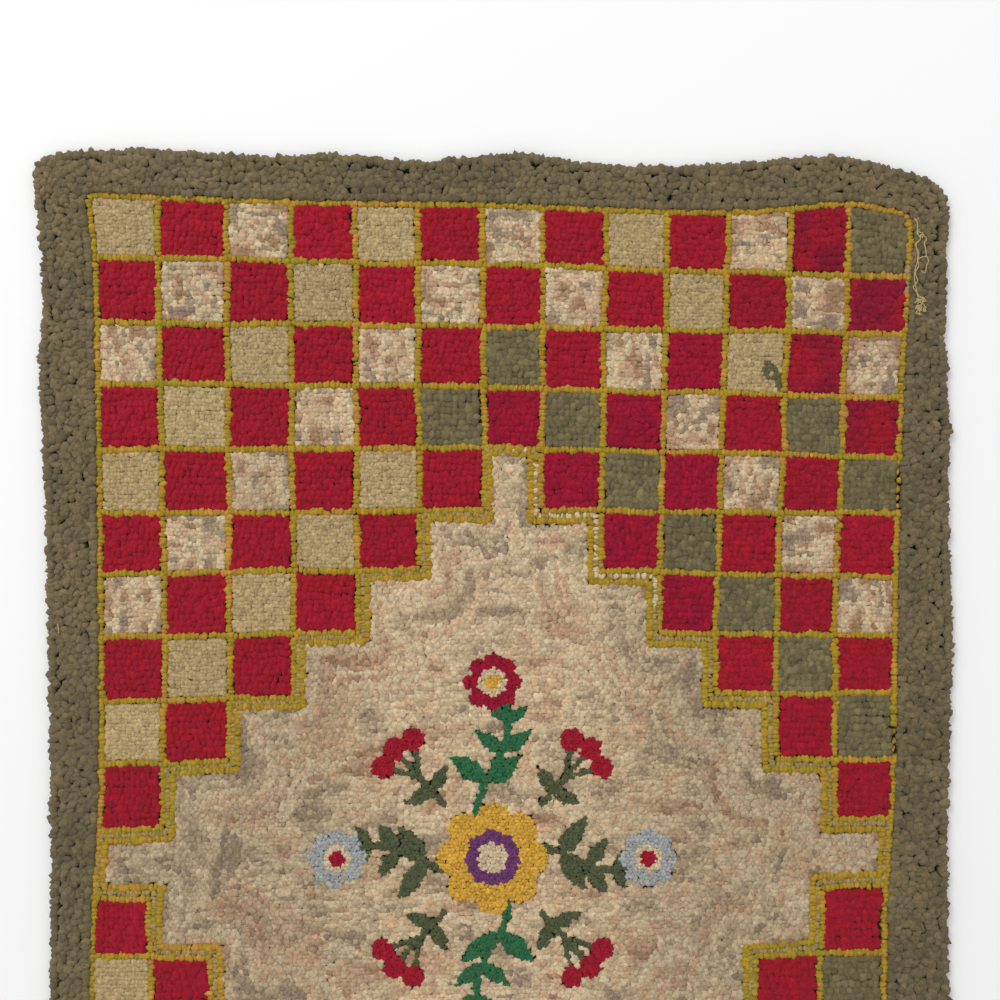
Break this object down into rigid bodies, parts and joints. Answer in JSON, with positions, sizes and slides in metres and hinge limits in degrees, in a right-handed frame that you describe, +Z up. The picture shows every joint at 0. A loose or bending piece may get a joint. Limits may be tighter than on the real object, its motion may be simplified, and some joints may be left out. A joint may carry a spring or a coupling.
{
  "type": "hooked rug",
  "caption": "Flat hand-hooked wool rug: stepped checkerboard ends around a pale field with a plain flower medallion, inside a thick dark looped edge band.",
  "frame": {"origin": "on the floor, under the middle of the rug's box", "axes": "+Y along the rug's length, +Z up through the pile, +X across its width"},
  "size_m": [0.919, 1.42, 0.011],
  "materials": {
    "hooked_wool": "matte looped wool pile on a burlap foundation"
  },
  "bodies": {
    "root": {"rug": "hooked_wool"}
  },
  "joints": []
}
